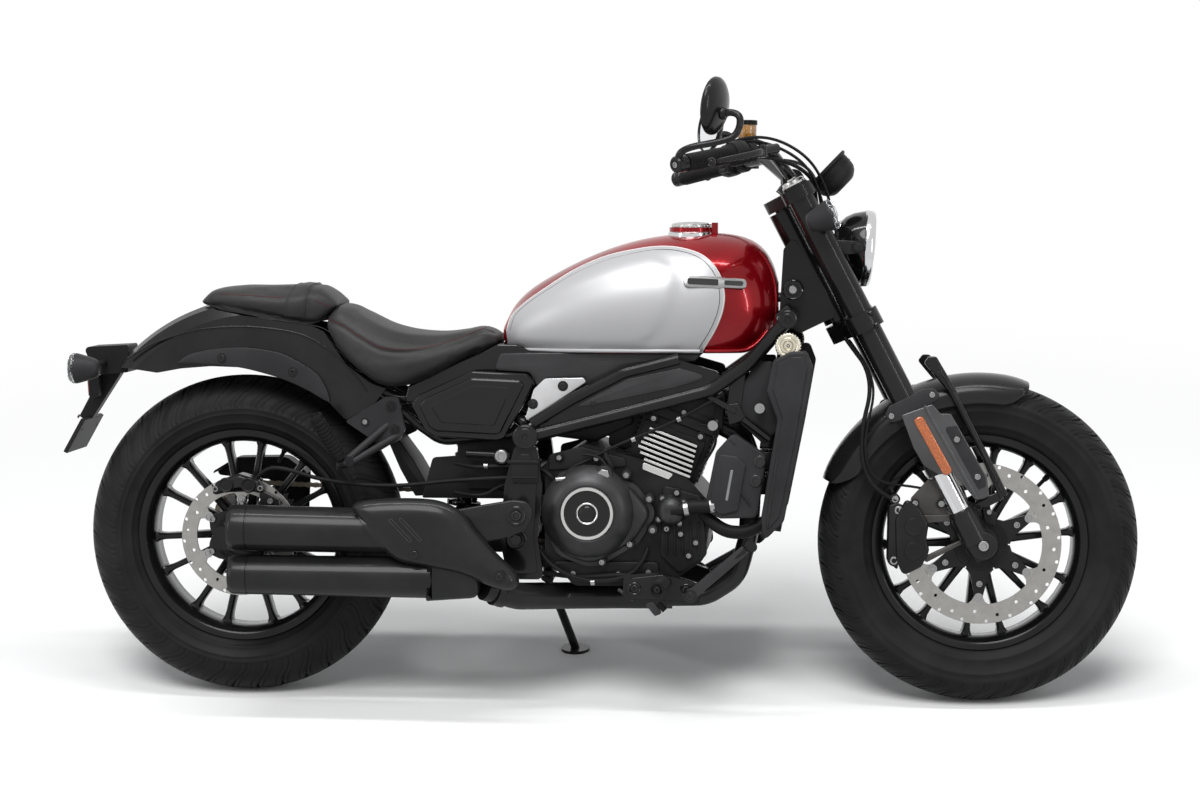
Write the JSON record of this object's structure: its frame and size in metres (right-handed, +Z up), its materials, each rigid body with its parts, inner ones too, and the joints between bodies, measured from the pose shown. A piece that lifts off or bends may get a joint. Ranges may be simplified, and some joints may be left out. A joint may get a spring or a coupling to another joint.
{
  "type": "cruiser motorcycle",
  "caption": "Cruiser motorcycle leaning on its side stand, with turning wheels, steering, folding footrests, hinged filler cap and a twin-can exhaust.",
  "frame": {"origin": "on the road, under the middle of the leaning machine's bounding box", "axes": "+X forward along the machine, +Y to the rider's left, +Z up"},
  "size_m": [2.1692, 0.9157, 1.3007],
  "materials": {
    "candy_red": "gloss",
    "brushed_silver": "satin",
    "polished_alloy": "gloss",
    "satin_black": "satin",
    "frame_black": "satin",
    "engine_black": "matte",
    "matte_black": "matte",
    "gloss_black": "gloss",
    "gunmetal": "satin",
    "disc_steel": "satin",
    "black_alloy": "satin",
    "seat_leather": "matte",
    "tyre_rubber": "matte",
    "rubber_black": "matte",
    "clear_lens": "gloss",
    "steel": "satin",
    "chain_steel": "satin"
  },
  "bodies": {
    "chassis": {"steering_head": "frame_black", "frame_rails": "frame_black", "frame_plates": "frame_black", "seat_subframe": "frame_black", "swingarm": "black_alloy", "rear_axle": "steel", "rear_shock": "steel", "crankcase": "engine_black", "cylinder": "engine_black", "cylinder_head": "engine_black", "engine_covers": "engine_black", "radiator": "black_alloy", "radiator_covers": "matte_black", "header_pipes": "satin_black", "mufflers": "satin_black", "heat_shield": "satin_black", "fuel_tank": "candy_red", "tank_side_panels": "brushed_silver", "rider_seat": "seat_leather", "pillion_seat": "seat_leather", "rear_fender": "gloss_black", "tail_bracket": "matte_black", "rear_signals": "clear_lens", "side_covers": "gloss_black", "footrest_plates": "black_alloy", "passenger_peg_brackets": "black_alloy", "chain": "chain_steel", "chain_guard": "satin_black", "rear_caliper": "black_alloy", "rear_brake_hose": "rubber_black"},
    "steering": {"triple_clamps": "black_alloy", "fork_outer_tubes": "black_alloy", "fork_lower_legs": "black_alloy", "front_axle": "steel", "fork_guards": "gunmetal", "front_fender": "gloss_black", "handlebar": "satin_black", "hand_controls": "rubber_black", "bar_end_mirrors": "matte_black", "headlight_shell": "gloss_black", "headlight_lens": "clear_lens", "gauge_pod": "gloss_black", "front_signals": "clear_lens", "front_caliper": "black_alloy", "front_brake_hose": "rubber_black", "control_cables": "rubber_black"},
    "front_wheel": {"front_wheel_rim": "black_alloy", "front_tyre": "tyre_rubber", "front_brake_disc": "disc_steel"},
    "rear_wheel": {"rear_wheel_rim": "black_alloy", "rear_tyre": "tyre_rubber", "rear_brake_disc": "disc_steel", "rear_sprocket": "steel"},
    "side_stand": {"side_stand": "steel"},
    "right_rider_peg": {"rider_peg_right": "rubber_black"},
    "left_rider_peg": {"rider_peg_left": "rubber_black"},
    "right_passenger_peg": {"passenger_peg_right": "rubber_black"},
    "left_passenger_peg": {"passenger_peg_left": "rubber_black"},
    "fuel_cap": {"fuel_cap_lid": "polished_alloy"}
  },
  "joints": [
    {"name": "steering", "type": "hinge", "parent": "chassis", "child": "steering", "pos_m": [0.42925, -0.0436, 0.85853], "axis": [-0.4581, 0.1619, 0.874], "range_deg": [-39, 31]},
    {"name": "front_wheel_spin", "type": "hinge", "parent": "steering", "child": "front_wheel", "pos_m": [0.7649, -0.14116, 0.31456], "axis": [-0.0621, 0.975, -0.2132], "continuous": true},
    {"name": "rear_wheel_spin", "type": "hinge", "parent": "chassis", "child": "rear_wheel", "pos_m": [-0.71999, -0.14372, 0.31904], "axis": [-0.0001, 0.9833, -0.1822], "continuous": true},
    {"name": "side_stand_fold", "type": "hinge", "parent": "chassis", "child": "side_stand", "pos_m": [-0.11757, -0.02487, 0.19168], "axis": [0.1488, 0.8855, 0.4401], "range_deg": [0, 100.76]},
    {"name": "right_rider_peg_fold", "type": "hinge", "parent": "chassis", "child": "right_rider_peg", "pos_m": [0.14549, -0.31831, 0.27642], "axis": [-0.9995, 0.0319, 0.0062], "range_deg": [0, 67]},
    {"name": "right_passenger_peg_fold", "type": "hinge", "parent": "chassis", "child": "right_passenger_peg", "pos_m": [-0.49237, -0.28015, 0.50467], "axis": [0.875, -0.3496, 0.3349], "range_deg": [0, 59]},
    {"name": "left_rider_peg_fold", "type": "hinge", "parent": "chassis", "child": "left_rider_peg", "pos_m": [0.14545, 0.0042, 0.21664], "axis": [0.9995, 0.0278, -0.0172], "range_deg": [0, 67]},
    {"name": "left_passenger_peg_fold", "type": "hinge", "parent": "chassis", "child": "left_passenger_peg", "pos_m": [-0.49241, 0.05023, 0.44344], "axis": [-0.8749, -0.4466, -0.1873], "range_deg": [0, 59]},
    {"name": "fuel_cap_hinge", "type": "hinge", "parent": "chassis", "child": "fuel_cap", "pos_m": [0.2369, -0.02889, 0.938], "axis": [-0.0001, 0.9833, -0.1822], "range_deg": [0, 80]}
  ]
}
